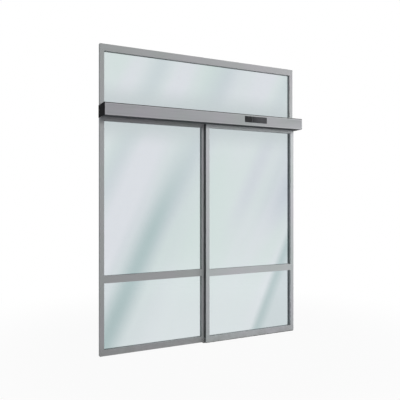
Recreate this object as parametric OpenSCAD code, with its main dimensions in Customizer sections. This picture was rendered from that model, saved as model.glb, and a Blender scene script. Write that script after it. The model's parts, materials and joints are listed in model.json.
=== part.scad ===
// Automatic sliding door: one leaf that slides left in front of a glazed side screen,
// under a full-width operator with a glazed fanlight above it.
// X runs to the right, Y to the back and Z up from the floor. The origin is on the floor,
// midway between the ends and between the front and the back. The doorway is shown closed.

/* [Doorway] */
// Clear width of the doorway
opening_w = 1000; // [800:10:1000]
// Clear height of the doorway, up to the underside of the operator
opening_h = 2100; // [1900:10:2300]
// Height of the whole frame
overall_h = 2750; // [2650:10:3200]
// Glass width seen in the side screen
side_w = 960; // [960:10:1300]
// Height of the underside of the middle rails
mid_z = 640; // [400:10:1100]

/* [Frame profiles] */
// Depth of every frame and leaf profile
frame_d = 40; // [40:1:60]
// Seen width of the jambs, the mullion and the leaf's stiles
stile_w = 38; // [34:1:60]
// Seen height of the head rail
head_h = 62; // [45:1:90]
// Seen height of the middle rails
mid_h = 65; // [50:1:90]
// Seen height of the bottom rails
bottom_h = 54; // [50:1:90]
// Seen height of the slim rails above and below the transom
slim_h = 26; // [24:1:40]
// Wall of the hollow profiles
wall = 2; // [1.5:0.1:3]

/* [Glazing] */
// Thickness of the laminated glass
glass_t = 10; // [8:1:12]
// Height of the glazing beads and of the lip behind the glass
rebate = 14; // [12:1:18]
// How far the glass reaches behind the beads
glass_bite = 10; // [8:0.5:11]
// Thickness of the gaskets on each side of the glass
gasket_t = 3; // [2:0.5:4]
// Thickness of the lip behind the glass
lip_t = 2; // [1.5:0.1:3]
// Wall of the hollow glazing beads
bead_wall = 1.5; // [1:0.1:2]

/* [Sliding leaf] */
// Gap between the back of the leaf and the front of the frame
leaf_gap = 8; // [6:0.5:12]
// Gap under the leaf
leaf_clear = 8; // [7:0.5:12]
// How far the closed leaf laps over the mullion and over the jamb
leaf_lap = 16; // [12:1:17]
// Height of the leaf's top rail
leaf_top_h = 48; // [44:1:60]
// How far the leaf reaches up into the operator
leaf_rise = 18; // [14:1:20]

/* [Operator] */
// Height of the operator
operator_h = 110; // [108:1:150]
// How far the operator stands in front of the frame
operator_d = 158; // [156:1:200]
// Thickness of the cover's sheet
cover_t = 2.5; // [2:0.1:3]
// Width of the raised rim round the cover's face
rim_w = 11; // [8:1:16]
// How far the rim stands out from the face
rim_rise = 1; // [0.5:0.1:1.5]
// Thickness of the black end caps
cap_t = 3; // [2:0.5:4]
// Tread radius of the running rollers, at the bottom of their groove
roller_r = 16; // [13:0.5:18]
// Number of teeth on the belt pulleys
pulley_teeth = 24; // [20:1:26]

/* [Sensor] */
// Width of the sensor's window
sensor_w = 255; // [180:5:320]
// Height of the sensor's window
sensor_h = 59; // [40:1:70]
// Distance of the sensor's middle to the right of the doorway's middle
sensor_x = -20; // [-60:1:20]
// Height of the sensor's middle above the underside of the operator
sensor_z = 60.5; // [55:0.5:65]

/* [Hidden] */
$fn = 48;
fit = 0.05;
clear = 0.3;

// Places across the doorway
frame_w = 3 * stile_w + side_w + opening_w;
x_left = -frame_w / 2;
x_right = frame_w / 2;
jamb_sight_l = x_left + stile_w;
mullion_l = jamb_sight_l + side_w;
mullion_r = mullion_l + stile_w;
jamb_sight_r = x_right - stile_w;
tube_w = stile_w - rebate;
leaf_l = mullion_r - leaf_lap;
leaf_r = jamb_sight_r + leaf_lap;
leaf_sight_l = leaf_l + stile_w;
leaf_sight_r = leaf_r - stile_w;

// Reach of the rails' tubes, between the tubes of the uprights
FRAME_TUBE = [x_left + tube_w, x_right - tube_w];
SIDE_TUBE = [x_left + tube_w, mullion_l + rebate];
LEAF_TUBE = [leaf_l + tube_w, leaf_r - tube_w];

// Places from front to back
y_back = (frame_d + operator_d) / 2;
y_frame = y_back - frame_d;
y_front = -y_back;
y_leaf = y_frame - leaf_gap - frame_d;
y_track = y_leaf + frame_d / 2;
glass_set = frame_d - lip_t - gasket_t - glass_t;
bead_d = glass_set - gasket_t;

// Joint left between the ends of the beads
bead_joint = 0.2;

// Places up the door
z_op = opening_h;
z_op_top = opening_h + operator_h;
z_fan = z_op_top + slim_h;
z_head = overall_h - head_h;
z_side_top = opening_h - slim_h;
z_leaf_top = opening_h + leaf_rise;
z_leaf_rail = z_leaf_top - leaf_top_h;
z_leaf_low = leaf_clear + bottom_h;
z_mid_top = mid_z + mid_h;

// Glass openings as [x range, z range], sight line to sight line
SIDE_LOW = [[jamb_sight_l, mullion_l], [bottom_h, mid_z]];
SIDE_HIGH = [[jamb_sight_l, mullion_l], [z_mid_top, z_side_top]];
FANLIGHT = [[jamb_sight_l, jamb_sight_r], [z_fan, z_head]];
LEAF_LOW = [[leaf_sight_l, leaf_sight_r], [z_leaf_low, mid_z]];
LEAF_HIGH = [[leaf_sight_l, leaf_sight_r], [z_mid_top, z_leaf_rail]];
FRAME_PANES = [SIDE_LOW, SIDE_HIGH, FANLIGHT];
LEAF_PANES = [LEAF_LOW, LEAF_HIGH];

// Running rail and carriages
flange_t = 4;
web_t = 4;
y_web = y_frame - web_t;
ledge_t = 4;
ledge_rise = 22;
z_ledge = z_leaf_top + ledge_rise;
head_r = 4;
neck_h = 6;
z_head_mid = z_ledge + ledge_t + neck_h;
upstand_t = 4;
slot_deep = 6;
slot_half = 7;
z_hang = z_op_top - flange_t - slot_deep;
y_slots = [y_front + 46, y_front + 70];
groove_r = head_r + clear;
z_axle = z_head_mid + head_r + clear + roller_r;
roller_flange_r = roller_r + 3;
roller_w = 14;
axle_r = 4;
plate_t = 5;
y_plate = y_leaf - plate_t;
foot_t = 6;
y_foot_back = y_track + 14;
carriage_half = 70;
axle_half = 45;
hanging_bolt_half = 30;
carriage_inset = 130;
carriage_xs = [leaf_l + carriage_inset, leaf_r - carriage_inset];
hanging_bolt_xs = [for (x = carriage_xs) for (s = [-1, 1]) x + s * hanging_bolt_half];
stop_w = 14;
stop_inset = 49;
stop_gap = 1;

// Belt drive
belt_pitch = 5;
pitch_r = pulley_teeth * belt_pitch / (2 * PI);
belt_in_r = pitch_r - 0.1;
belt_out_r = belt_in_r + 2.2;
pulley_r = belt_in_r - clear;
belt_w = 12;
pulley_w = 14;
y_belt = y_plate - 15;
y_pulley = [y_belt - 1, y_belt - 1 + pulley_w];
pulley_flange_t = 1.5;
pulley_flange_r = belt_out_r + 1.3;
z_belt = z_op + 65;
idler_inset = 33;
drive_inset = 37;
x_idler = x_left + idler_inset;
x_drive = x_right - drive_inset;
shaft_r = 5;
shaft_l = 30;
z_belt_run = [z_belt - belt_out_r, z_belt - belt_in_r];
clamp_half = 25;
clamp_jaw = 5;

// Units in the operator
y_units = [y_front + 14, y_belt - 10];
z_units = [z_op + 14, z_hang - 4];
y_unit_foot = grown([y_slots[0], y_slots[0]], 5);
first_unit = 317;
unit_gap = 80;
power_l = 220;
control_l = 310;
battery_l = 200;
x_power = [x_left + first_unit, x_left + first_unit + power_l];
x_control = [x_power[1] + unit_gap, x_power[1] + unit_gap + control_l];
x_battery = [x_control[1] + unit_gap, x_control[1] + unit_gap + battery_l];
x_gearbox = [x_drive - 56, x_drive + 26];
y_gearbox = [y_units[0], y_belt - 4];
z_gearbox = [z_op + 20, z_units[1]];
motor_gap = 2;
motor_r = (y_units[1] - y_units[0] - motor_gap) / 2;
y_motor = middle(y_units) + motor_gap / 2;
z_motor = z_op + 58;

// Front cover and its hinge
hinge_r = 4;
y_hinge = y_front + hinge_r;
z_hinge = z_op_top - 5;
cover_gap = 0.5;
cover_top = z_hinge - 2;
y_return = y_leaf - 5;
y_cover_back = y_front + rim_rise + cover_t;
socket_wall = 2;
cover_x = [x_left + cover_gap, x_right - cover_gap];
window_mid_x = (mullion_r + jamb_sight_r) / 2 + sensor_x;
window_x = [window_mid_x - sensor_w / 2, window_mid_x + sensor_w / 2];
window_z = [z_op + sensor_z - sensor_h / 2, z_op + sensor_z + sensor_h / 2];

// Fasteners
bolt_r = 4;
screw_r = 2;
port_r = 4.5;
sunk_head_r = 4;
sunk_head_h = 1.8;
wall_hole_r = 4.5;
access_hole_r = 8;
wall_inset = 175;
fixing_zs = [for (i = [0:3]) wall_inset + i * (overall_h - 2 * wall_inset) / 3];
fixing_xs = [for (s = [-3, -1, 1, 3]) s * frame_w / 8];
carrier_bolts_n = 8;
carrier_inset = 125;
carrier_pitch = (frame_w - 2 * carrier_inset) / (carrier_bolts_n - 1);
carrier_bolt_xs = [for (i = [0:carrier_bolts_n - 1]) x_left + carrier_inset + i * carrier_pitch];
carrier_bolt_rise = 78;
z_carrier_bolt = z_op + carrier_bolt_rise;
clamp_screw_xs = [carriage_xs[0] - 15, carriage_xs[0] + 15];
z_clamp_screw = z_belt_run[1] + 2.7;
clamp_screw_r = 1.5;
ports = [[z_op_top - flange_t - port_r + 0.5, y_web - port_r + 0.5],
         [z_op_top - flange_t - port_r + 0.5, y_front + 22]];

// Floor guide
guide_h = 40;
guide_plate_t = 3;
guide_base_t = 4;
guide_fin_t = 8;
guide_groove = 12;
guide_groove_h = 28;
guide_fin_top = leaf_clear + guide_groove_h - 6;
z_guide_screw = guide_h - 12;
guide_screw_xs = [for (s = [-1, 1]) (mullion_l + rebate + mullion_r) / 2 + s * 6];

function grown(range, by) = [range[0] - by, range[1] + by];
function middle(range) = (range[0] + range[1]) / 2;

// A block from its ranges along X, Y and Z
module block(x, y, z) {
    translate([x[0], y[0], z[0]]) cube([x[1] - x[0], y[1] - y[0], z[1] - z[0]]);
}

// A rectangle from its ranges
module rect(u, v) {
    translate([u[0], v[0]]) square([u[1] - u[0], v[1] - v[0]]);
}

// A rectangle with round corners, from its ranges
module rounded(u, v, r) {
    rect(grown(u, -r), v);
    rect(u, grown(v, -r));
    for (a = grown(u, -r)) for (b = grown(v, -r)) translate([a, b]) circle(r = r);
}

// A flat outline drawn in X and Y, drawn out upwards
module upright(z) {
    translate([0, 0, z[0]]) linear_extrude(z[1] - z[0]) children();
}

// A flat outline drawn in Z and Y, drawn out along X
module crossbar(x) {
    translate([x[1], 0, 0]) rotate([0, -90, 0]) linear_extrude(x[1] - x[0]) children();
}

// A flat outline drawn in X and Z, drawn out along Y
module slab(y) {
    translate([0, y[1], 0]) rotate([90, 0, 0]) linear_extrude(y[1] - y[0]) children();
}

// A cylinder along Y
module rod(x, y, z, r) {
    translate([x, y[0], z]) rotate([-90, 0, 0]) cylinder(r = r, h = y[1] - y[0]);
}

// A screw or bolt that points along +Y, with a hexagon or a round head in front of y
module bolt_back(x, y, z, r, across, thick, length, sides) {
    translate([x, y - thick, z]) rotate([-90, 0, 0]) cylinder(r = across, h = thick, $fn = sides);
    rod(x, [y - thick / 2, y + length], z, r);
}

// A hollow rectangle, the section of a tube
module tube_section(u, y0) {
    difference() {
        rect(u, [y0, y0 + frame_d]);
        rect(grown(u, -wall), [y0 + wall, y0 + frame_d - wall]);
    }
}

// The lip that stands behind the glass, from the back wall of its tube to the sight line
module lip_section(tube, sight, y0) {
    rect([min(middle(tube), sight), max(middle(tube), sight)], [y0 + frame_d - lip_t, y0 + frame_d]);
}

// A rail with a tube between the uprights' tubes and a lip on the sides that hold glass
module rail(z, tube_x, sight_x, y0, lip_below, lip_above) {
    tube_z = [z[0] + (lip_below ? rebate : 0), z[1] - (lip_above ? rebate : 0)];
    crossbar(tube_x) tube_section(tube_z, y0);
    if (lip_below) crossbar(sight_x) lip_section(tube_z, z[0], y0);
    if (lip_above) crossbar(sight_x) lip_section(tube_z, z[1], y0);
}

// An upright: a tube with a lip out to the sight line beside each pane
module stile(tube_x, sight, z, panes, y0) {
    upright(z) tube_section(tube_x, y0);
    for (pane = panes) upright(grown(pane[1], rebate)) lip_section(tube_x, sight, y0);
}

// The four hollow beads round one pane
module beads(pane, y0) {
    outer_x = grown(pane[0], rebate);
    y = [y0, y0 + bead_d];
    for (z = [[pane[1][0] - rebate, pane[1][0]], [pane[1][1], pane[1][1] + rebate]])
        crossbar(outer_x) bead_section(z, y);
    for (x = [[outer_x[0], pane[0][0]], [pane[0][1], outer_x[1]]])
        upright(grown(pane[1], -bead_joint)) bead_section(x, y);
}

module bead_section(u, y) {
    difference() {
        rect(u, y);
        rect(grown(u, -bead_wall), grown(y, -bead_wall));
    }
}

// The front and the back gasket of one pane
module gaskets(pane, y0) {
    outer = glass_bite - 1;
    for (y = [y0 + bead_d, y0 + frame_d - lip_t - gasket_t])
        slab([y, y + gasket_t]) difference() {
            rect(grown(pane[0], outer), grown(pane[1], outer));
            rect(pane[0], pane[1]);
        }
}

module glass(pane, y0) {
    y = [y0 + glass_set, y0 + glass_set + glass_t];
    color([0.75, 0.85, 0.87, 0.4]) block(grown(pane[0], glass_bite), y, grown(pane[1], glass_bite));
}

// The two blocks that carry the lower edge of one pane
module setting_blocks(pane, y0) {
    length = 90;
    quarter = (pane[0][1] - pane[0][0]) / 4;
    for (x = [pane[0][0] + quarter, pane[0][1] - quarter])
        block([x - length / 2, x + length / 2], [y0 + glass_set, y0 + glass_set + glass_t],
            [pane[1][0] - rebate, pane[1][0] - glass_bite]);
}

// Wall holes through a jamb, with a wider hole inside for the tool
module jamb_holes(outer_x, inner_x) {
    inward = outer_x < inner_x ? 1 : -1;
    for (z = fixing_zs) translate([outer_x - inward, y_frame + frame_d / 2, z]) rotate([0, 90 * inward, 0]) {
        cylinder(r = wall_hole_r, h = tube_w);
        translate([0, 0, tube_w / 2]) cylinder(r = access_hole_r, h = tube_w);
    }
}

module left_jamb() {
    color("silver") difference() {
        stile([x_left, x_left + tube_w], jamb_sight_l, [0, overall_h], FRAME_PANES, y_frame);
        jamb_holes(x_left, x_left + tube_w);
    }
}

module right_jamb() {
    tube_x = [x_right - tube_w, x_right];
    color("silver") difference() {
        union() {
            stile(tube_x, jamb_sight_r, [0, overall_h], [FANLIGHT], y_frame);
            upright([0, opening_h]) lip_section(tube_x, jamb_sight_r, y_frame);
        }
        jamb_holes(x_right, x_right - tube_w);
    }
}

// The profile that closes the jamb's glass groove beside the doorway
module right_jamb_closer() {
    color("silver") upright([0, opening_h])
        bead_section([jamb_sight_r, x_right - tube_w], [y_frame, y_back - lip_t]);
}

module mullion() {
    color("silver") difference() {
        stile([mullion_l + rebate, mullion_r], mullion_l, [0, opening_h], [SIDE_LOW, SIDE_HIGH], y_frame);
        for (x = guide_screw_xs) rod(x, [y_frame - 1, y_frame + wall + 1], z_guide_screw, screw_r + fit);
    }
}

module head_rail() {
    color("silver") difference() {
        rail([z_head, overall_h], FRAME_TUBE, FANLIGHT[0], y_frame, true, false);
        for (x = fixing_xs) translate([x, y_frame + frame_d / 2, z_head]) {
            cylinder(r = wall_hole_r, h = head_h + 1);
            cylinder(r = access_hole_r, h = rebate + wall + 1);
        }
    }
}

module transom() {
    z = [opening_h, z_op_top];
    web = middle(z);
    color("silver") difference() {
        union() {
            rail(z, FRAME_TUBE, FANLIGHT[0], y_frame, false, false);
            crossbar(FRAME_TUBE)
                rect([web - wall / 2, web + wall / 2], [y_frame + wall / 2, y_back - wall / 2]);
        }
        for (x = carrier_bolt_xs) rod(x, [y_frame - 1, y_frame + wall + 1], z_carrier_bolt, bolt_r + fit);
    }
}

module fanlight_bottom_rail() {
    color("silver") rail([z_op_top, z_fan], FRAME_TUBE, FANLIGHT[0], y_frame, false, true);
}

module side_top_rail() {
    color("silver") rail([z_side_top, opening_h], SIDE_TUBE, SIDE_HIGH[0], y_frame, true, false);
}

module side_middle_rail() {
    color("silver") rail([mid_z, z_mid_top], SIDE_TUBE, SIDE_HIGH[0], y_frame, true, true);
}

module side_bottom_rail() {
    color("silver") rail([0, bottom_h], SIDE_TUBE, SIDE_LOW[0], y_frame, false, true);
}

module frame_glazing_beads() {
    color("silver") for (pane = FRAME_PANES) beads(pane, y_frame);
}

module frame_gaskets() {
    color("dimgray") for (pane = FRAME_PANES) gaskets(pane, y_frame);
}

module frame_setting_blocks() {
    color("black") for (pane = FRAME_PANES) setting_blocks(pane, y_frame);
}

// Plugs that close the jambs' open tops
module jamb_end_plugs() {
    plug_h = 12;
    for (x = [x_left, x_right - tube_w])
        color("gray") block(grown([x, x + tube_w], -wall - fit), grown([y_frame, y_back], -wall - fit),
            [overall_h - plug_h, overall_h]);
}

// A foot on the mullion with a round-topped fin that runs in the groove under the leaf
module floor_guide() {
    end_gap = 1;
    side_gap = 2;
    corner = 3;
    half = guide_fin_t / 2;
    base_x = grown([mullion_l, mullion_r], -side_gap);
    fin_x = grown([leaf_l, mullion_r], -end_gap);
    y_plate_front = y_frame - guide_plate_t;
    color("dimgray") difference() {
        union() {
            slab([y_plate_front, y_frame]) {
                rounded(base_x, [0, guide_h], corner);
                rect(base_x, [0, guide_h / 2]);
            }
            block(base_x, [y_track - half, y_frame], [0, guide_base_t]);
            crossbar(fin_x) {
                rect([0, guide_fin_top - half], grown([y_track, y_track], half));
                translate([guide_fin_top - half, y_track]) circle(r = half);
            }
        }
        for (x = guide_screw_xs) rod(x, [y_plate_front - 1, y_frame + 1], z_guide_screw, screw_r + fit);
    }
}

module floor_guide_screws() {
    for (x = guide_screw_xs)
        color("gray") bolt_back(x, y_frame - guide_plate_t, z_guide_screw, screw_r, 3.5, 2, 14, 24);
}

// The carrier: back web, top flange, running rail with its rounded head, hinge socket and screw ports
module carrier_section() {
    socket_r = hinge_r + clear + socket_wall;
    difference() {
        union() {
            rect([z_op + 4, z_op_top], [y_web, y_frame]);
            rect([z_op_top - flange_t, z_op_top], [y_hinge + hinge_r / 2, y_frame]);
            rect([z_ledge, z_ledge + ledge_t], [y_track - 5, y_frame]);
            rect([z_ledge, z_head_mid], [y_track - upstand_t / 2, y_track + upstand_t / 2]);
            translate([z_head_mid, y_track]) circle(r = head_r);
            for (p = ports) translate(p) circle(r = port_r);
            intersection() {
                translate([z_hinge, y_hinge]) circle(r = socket_r);
                union() {
                    rect([z_hinge - socket_r, z_hinge], [y_cover_back + clear, y_hinge + socket_r]);
                    rect([z_hinge, z_op_top], [y_hinge + hinge_r / 2, y_hinge + socket_r]);
                }
            }
            for (y = y_slots) carrier_slot(y);
        }
        translate([z_hinge, y_hinge]) circle(r = hinge_r + clear);
        for (p = ports) translate(p) circle(r = screw_r);
    }
}

// A downward slot that holds the heads of the units' hanging screws
module carrier_slot(y) {
    lip = 1.5;
    hook = 3;
    for (s = [-1, 1]) {
        side_y = y + s * slot_half;
        rect([z_hang, z_op_top - flange_t], [side_y - lip / 2, side_y + lip / 2]);
        rect([z_hang, z_hang + lip], [min(side_y, side_y - s * hook), max(side_y, side_y - s * hook)]);
    }
}

module operator_carrier() {
    color("gainsboro") difference() {
        crossbar([x_left, x_right]) carrier_section();
        for (x = carrier_bolt_xs) rod(x, [y_web - 1, y_frame + 1], z_carrier_bolt, bolt_r + fit);
    }
}

module carrier_bolts() {
    for (x = carrier_bolt_xs)
        color("gray") bolt_back(x, y_web, z_carrier_bolt, bolt_r, 7, 5, 20, 6);
}

// An end cap drawn round the operator's end and the frame behind it
module end_cap(x) {
    corner = 4;
    z = [z_op, z_op_top];
    y = [y_front + rim_rise, y_back];
    color([0.08, 0.08, 0.09]) difference() {
        crossbar(x) {
            rect(z, [y[0] + corner, y[1]]);
            rect(grown(z, -corner), [y[0], y[0] + corner]);
            for (s = [z[0] + corner, z[1] - corner]) translate([s, y[0] + corner]) circle(r = corner);
        }
        cap_screws(x[0] < 0 ? -1 : 1, screw_r + fit, sunk_head_r + fit);
    }
}

module left_end_cap() {
    end_cap([x_left - cap_t, x_left]);
}

module right_end_cap() {
    end_cap([x_right, x_right + cap_t]);
}

// The shape of the sunk screws at one end, also used for their holes
module cap_screws(side, shank_r, head_r) {
    length = 16;
    for (p = ports) translate([side * (x_right + cap_t), p[1], p[0]]) rotate([0, -90 * side, 0]) {
        cylinder(r = shank_r, h = length);
        cylinder(r1 = head_r, r2 = shank_r, h = sunk_head_h);
    }
}

// Screws with flat heads sunk in the caps, which run into the carrier's ports
module end_cap_screws() {
    for (side = [-1, 1]) color("black") cap_screws(side, screw_r - fit, sunk_head_r);
}

// A closed unit with rounded upright edges and feet that hang it from the top flange
module hung_unit(x) {
    corner = 5;
    foot = 14;
    upright(z_units) rounded(x, y_units, corner);
    for (fx = [x[0] + corner, x[1] - corner - foot])
        block([fx, fx + foot], y_unit_foot, [middle(z_units), z_hang]);
}

// A row of upright vent slots in the front of a unit
module vents(x, count) {
    slot = 4;
    depth = 2;
    margin = 18;
    for (i = [0:count - 1])
        block([x, x + slot] + [1, 1] * 2 * slot * i, [y_units[0] - 1, y_units[0] + depth],
            grown(z_units, -margin));
}

// A row of wire terminals under a unit
module terminals(x, count) {
    pitch = 10;
    width = 8;
    drop = 6;
    entry_r = 1.8;
    y = [y_units[0] + 6, y_units[0] + 18];
    difference() {
        for (i = [0:count - 1])
            block([x, x + width] + [1, 1] * pitch * i, y, [z_units[0] - drop, z_units[0] + 1]);
        for (i = [0:count - 1])
            rod(x + width / 2 + pitch * i, [y[0] - 1, y[0] + drop], z_units[0] - drop / 2, entry_r);
    }
}

module control_unit() {
    vents_start = 24;
    terminals_start = 150;
    color("dimgray") {
        difference() {
            hung_unit(x_control);
            vents(x_control[0] + vents_start, 12);
        }
        terminals(x_control[0] + terminals_start, 14);
    }
}

module power_supply() {
    vents_start = 60;
    terminals_start = 160;
    color("slategray") {
        difference() {
            hung_unit(x_power);
            vents(x_power[0] + vents_start, 8);
        }
        terminals(x_power[0] + terminals_start, 4);
    }
}

// The battery pack, with two straps round it
module battery_pack() {
    strap_w = 16;
    strap_t = 1.5;
    strap_inset = 40;
    corner = 6;
    color("darkslategray") {
        hung_unit(x_battery);
        for (x = [x_battery[0] + strap_inset, x_battery[1] - strap_inset - strap_w])
            crossbar([x, x + strap_w]) rounded(grown(z_units, strap_t), grown(y_units, strap_t), corner);
    }
}

// The motor: a grooved body between two end bells, with its rear bearing cap
module drive_motor() {
    groove_n = 16;
    groove_r = 2;
    body_r = motor_r - 2;
    bell_l = 12;
    body_l = 150;
    taper = 5;
    cap_r = 9;
    cap_l = 10;
    color("gray") translate([x_gearbox[0], y_motor, z_motor]) rotate([0, -90, 0]) difference() {
        union() {
            cylinder(r = motor_r, h = bell_l);
            cylinder(r = body_r, h = bell_l + body_l + 1);
            translate([0, 0, bell_l + body_l]) cylinder(r1 = motor_r, r2 = motor_r - taper, h = bell_l);
            cylinder(r = cap_r, h = 2 * bell_l + body_l + cap_l);
        }
        for (i = [0:groove_n - 1]) rotate([0, 0, i * 360 / groove_n])
            translate([body_r, 0, 2 * bell_l]) cylinder(r = groove_r, h = body_l - 2 * bell_l);
    }
}

// The gearbox: a cast body with a flange to the motor, cover screws and a boss round the pulley's shaft
module gearbox() {
    corner = 7;
    boss_r = 13;
    boss_h = 1;
    screw_inset = 10;
    cover_screw_r = 4;
    screw_h = 3;
    color("lightgray") difference() {
        union() {
            slab(y_gearbox) rounded(x_gearbox, z_gearbox, corner);
            block(grown(x_gearbox, -corner), y_unit_foot, [middle(z_gearbox), z_hang]);
            rod(x_drive, [y_gearbox[1] - 1, y_gearbox[1] + boss_h], z_belt, boss_r);
            for (x = grown(x_gearbox, -screw_inset)) for (z = grown(z_gearbox, -screw_inset))
                rod(x, [y_gearbox[0] - screw_h, y_gearbox[0] + 1], z, cover_screw_r);
        }
        rod(x_drive, [y_gearbox[1] - shaft_l - 1, y_gearbox[1] + boss_h + 1], z_belt, shaft_r + fit);
    }
}

// A toothed pulley: a disc with round gaps between its teeth, and a flange on each side of the belt
module pulley(x) {
    gap_r = 1.2;
    difference() {
        rod(x, y_pulley, z_belt, pulley_r);
        translate([x, y_pulley[0] - 1, z_belt]) rotate([-90, 0, 0]) for (i = [0:pulley_teeth - 1])
            rotate([0, 0, i * 360 / pulley_teeth]) translate([pulley_r, 0, 0])
                cylinder(r = gap_r, h = pulley_w + 2, $fn = 16);
    }
    for (y = [y_pulley[0] - pulley_flange_t, y_pulley[1]])
        rod(x, [y, y + pulley_flange_t], z_belt, pulley_flange_r);
}

module drive_pulley() {
    hub_r = 11;
    hub_h = 5;
    color("silver") {
        pulley(x_drive);
        rod(x_drive, [y_gearbox[1] - shaft_l, y_pulley[0]], z_belt, shaft_r);
        rod(x_drive, [y_pulley[1], y_pulley[1] + pulley_flange_t + hub_h], z_belt, hub_r);
    }
}

module idler_pulley() {
    color("silver") difference() {
        pulley(x_idler);
        rod(x_idler, grown(y_pulley, pulley_flange_t + 1), z_belt, axle_r + fit);
    }
}

// The belt's outline: two round ends and the straight runs between them
module belt_loop(r) {
    for (x = [x_idler, x_drive]) translate([x, z_belt]) circle(r = r, $fn = 96);
    rect([x_idler, x_drive], [z_belt - r, z_belt + r]);
}

module drive_belt() {
    color([0.1, 0.1, 0.1]) slab([y_belt, y_belt + belt_w]) difference() {
        belt_loop(belt_out_r);
        belt_loop(belt_in_r);
    }
}

// A bracket that hangs from the top flange and holds the idler's axle, with its tension screw and lug
module idler_bracket() {
    half = 14;
    plate = 5;
    corner = 6;
    ear = 20;
    side_gap = 0.5;
    lug_t = 8;
    tension_screw = [3, 34];
    tension_head = [5.5, 4];
    washer_t = 1.5;
    plate_x = grown([x_idler, x_idler], half);
    lug_x = [plate_x[1] + 30, plate_x[1] + 30 + lug_t];
    y_near = y_pulley[0] - pulley_flange_t - side_gap;
    y_ear = [y_slots[1] - slot_half, y_near];
    z_screw = z_hang - ear * 0.65;
    y_axle_end = y_pulley[1] + pulley_flange_t + clear;
    color("gray") {
        slab([y_near - plate, y_near]) {
            rounded(plate_x, [z_belt - half, z_hang], corner);
            rect(plate_x, [z_belt, z_hang]);
        }
        block([plate_x[0], plate_x[1] + half], y_ear, [z_hang - plate, z_hang]);
        block([plate_x[1] + half - plate, plate_x[1] + half], y_ear, [z_hang - ear, z_hang]);
        rod(x_idler, [y_near - plate, y_axle_end + washer_t / 2], z_belt, axle_r);
        rod(x_idler, [y_axle_end, y_axle_end + washer_t], z_belt, axle_r + 2);
        difference() {
            block(lug_x, y_ear, [z_hang - ear, z_hang]);
            translate([lug_x[0] - 1, middle(y_ear), z_screw]) rotate([0, 90, 0])
                cylinder(r = tension_screw[0] + fit, h = lug_t + 2);
        }
        translate([plate_x[1] + half - 1, middle(y_ear), z_screw]) rotate([0, 90, 0]) {
            cylinder(r = tension_screw[0], h = tension_screw[1]);
            translate([0, 0, tension_screw[1]]) cylinder(r = tension_head[0], h = tension_head[1], $fn = 6);
        }
    }
}

// Stops on the back web that catch the carriages at each end of their travel
module end_stops() {
    corner = 3;
    over_rail = 2;
    z = [z_head_mid + head_r + over_rail, z_axle + roller_r];
    shut_x = carriage_xs[1] + carriage_half + stop_gap;
    for (x = [x_left + stop_inset, shut_x])
        color("black") slab([y_plate, y_web]) rounded([x, x + stop_w], z, corner);
}

module leaf_left_stile() {
    color("silver") stile([leaf_l, leaf_l + tube_w], leaf_sight_l, [z_leaf_low - rebate, z_leaf_top],
        LEAF_PANES, y_leaf);
}

module leaf_right_stile() {
    color("silver") stile([leaf_r - tube_w, leaf_r], leaf_sight_r, [z_leaf_low - rebate, z_leaf_top],
        LEAF_PANES, y_leaf);
}

// The bottom rail runs under both stiles, with closed ends and a groove for the floor guide
module leaf_bottom_rail() {
    end_t = 3;
    z = [leaf_clear, z_leaf_low - rebate];
    groove_y = grown([y_track, y_track], guide_groove / 2);
    groove_z = [leaf_clear - 1, leaf_clear + guide_groove_h];
    color("silver") {
        difference() {
            union() {
                crossbar([leaf_l, leaf_r]) tube_section(z, y_leaf);
                crossbar([leaf_l, leaf_r]) rect([z[0], groove_z[1] + wall], grown(groove_y, wall));
                for (x = [leaf_l, leaf_r - end_t]) block([x, x + end_t], [y_leaf, y_leaf + frame_d], z);
            }
            crossbar([leaf_l - 1, leaf_r + 1]) rect(groove_z, groove_y);
        }
        crossbar([leaf_sight_l, leaf_sight_r]) lip_section([z[1] - wall, z[1]], z_leaf_low, y_leaf);
    }
}

module leaf_middle_rail() {
    color("silver") rail([mid_z, z_mid_top], LEAF_TUBE, LEAF_HIGH[0], y_leaf, true, true);
}

module leaf_top_rail() {
    color("silver") difference() {
        rail([z_leaf_rail, z_leaf_top], LEAF_TUBE, LEAF_HIGH[0], y_leaf, true, false);
        for (x = hanging_bolt_xs)
            translate([x, y_track, z_leaf_top - wall - 1]) cylinder(r = bolt_r + fit, h = wall + 2);
    }
}

module leaf_glazing_beads() {
    color("silver") for (pane = LEAF_PANES) beads(pane, y_leaf);
}

module leaf_gaskets() {
    color("dimgray") for (pane = LEAF_PANES) gaskets(pane, y_leaf);
}

module leaf_setting_blocks() {
    color("black") for (pane = LEAF_PANES) setting_blocks(pane, y_leaf);
}

// Seals behind the stiles: a base on the stile and a hollow bulb towards the mullion or the jamb
module leaf_side_seals() {
    seal_w = 7;
    inset = 5;
    base_t = 3;
    bulb_wall = 1;
    sunk = 0.8;
    y_base = y_leaf + frame_d;
    bulb_r = (leaf_gap - clear - base_t + sunk) / 2;
    seal_z = [guide_h + 6, opening_h - 2];
    for (x = [leaf_l + inset, leaf_r - inset - seal_w])
        color("black") upright(seal_z) difference() {
            union() {
                rect([x, x + seal_w], [y_base, y_base + base_t]);
                translate([x + seal_w / 2, y_frame - clear - bulb_r]) circle(r = bulb_r);
            }
            translate([x + seal_w / 2, y_frame - clear - bulb_r]) circle(r = bulb_r - bulb_wall);
        }
}

// A brush under the leaf: its backing strip and its pile
module leaf_bottom_brush() {
    strip_w = 8;
    strip_t = 2;
    pile_w = 4;
    floor_gap = 1;
    y = y_leaf + 6;
    color("black") crossbar([leaf_l, leaf_r]) {
        rect([leaf_clear - strip_t, leaf_clear], grown([y, y], strip_w / 2));
        rect([floor_gap, leaf_clear], grown([y, y], pile_w / 2));
    }
}

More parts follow.
